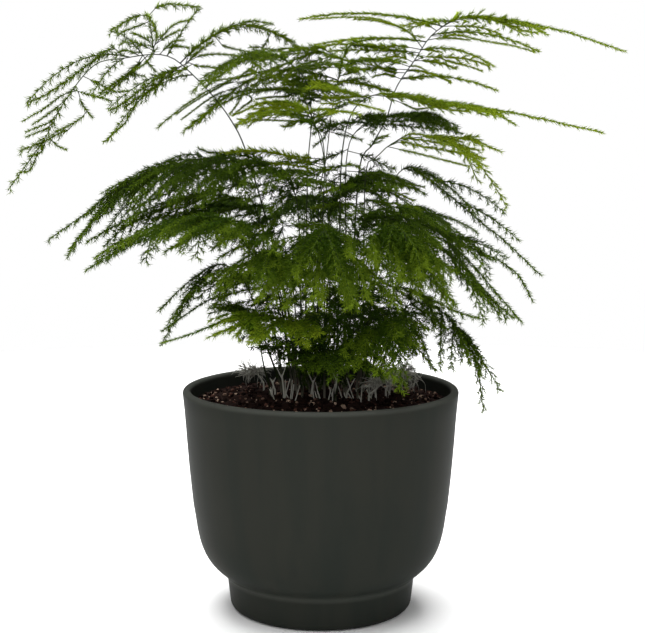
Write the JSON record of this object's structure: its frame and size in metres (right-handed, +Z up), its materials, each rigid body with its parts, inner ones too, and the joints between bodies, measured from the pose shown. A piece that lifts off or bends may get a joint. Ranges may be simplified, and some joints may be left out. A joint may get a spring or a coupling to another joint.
{
  "type": "potted asparagus fern",
  "caption": "Potted asparagus fern: feathery tiered fronds on wiry stems over dark soil, in a glazed bowl-shaped pot on a narrower round foot.",
  "frame": {"origin": "centre of the pot's flat foot, on the surface that it stands on", "axes": "+Z up along the pot's axis; -Y towards the front as pictured; +X to the right, where the longest bright fronds lean"},
  "size_m": [0.3305, 0.2082, 0.3293],
  "materials": {
    "pot_glaze": "satin dark green-grey glaze",
    "soil_earth": "crumbly dark brown potting soil",
    "leaf_deep": "soft dark green needles",
    "leaf_mid": "soft mid-green needles",
    "leaf_bright": "soft yellow-green needles",
    "leaf_young": "soft pale young needles",
    "dry_growth": "dry pale grey growth"
  },
  "bodies": {
    "root": {"pot": "pot_glaze", "soil": "soil_earth", "frond_left_tall": "leaf_mid", "frond_right_tall": "leaf_bright", "frond_middle_tall": "leaf_mid", "frond_middle_second": "leaf_mid", "frond_right_long": "leaf_bright", "frond_left_band": "leaf_bright", "frond_back_high": "leaf_deep", "frond_right_dark": "leaf_deep", "frond_right_young": "leaf_young", "frond_right_arc_high": "leaf_deep", "frond_right_arc_mid": "leaf_deep", "frond_right_arc_low": "leaf_deep", "frond_right_droop": "leaf_deep", "frond_front_right": "leaf_mid", "frond_front_middle": "leaf_mid", "frond_front_left": "leaf_mid", "frond_front_low_right": "leaf_mid", "frond_front_low_left": "leaf_bright", "frond_left_upper": "leaf_deep", "frond_left_mid_high": "leaf_deep", "frond_left_mid_low": "leaf_deep", "frond_left_front": "leaf_mid", "frond_left_low": "leaf_deep", "frond_centre_high": "leaf_deep", "frond_centre_mid": "leaf_deep", "frond_core_front": "leaf_deep", "frond_core_left": "leaf_deep", "frond_core_right": "leaf_deep", "frond_back_left": "leaf_deep", "frond_back_middle": "leaf_deep", "frond_back_right": "leaf_deep", "frond_back_low": "leaf_mid", "dry_spray_left": "dry_growth", "dry_spray_right": "dry_growth", "dry_spray_front": "dry_growth", "dry_stem_1": "dry_growth", "dry_stem_2": "dry_growth", "dry_stem_3": "dry_growth", "dry_stem_4": "dry_growth", "dry_stem_5": "dry_growth", "dry_stem_6": "dry_growth"}
  },
  "joints": []
}
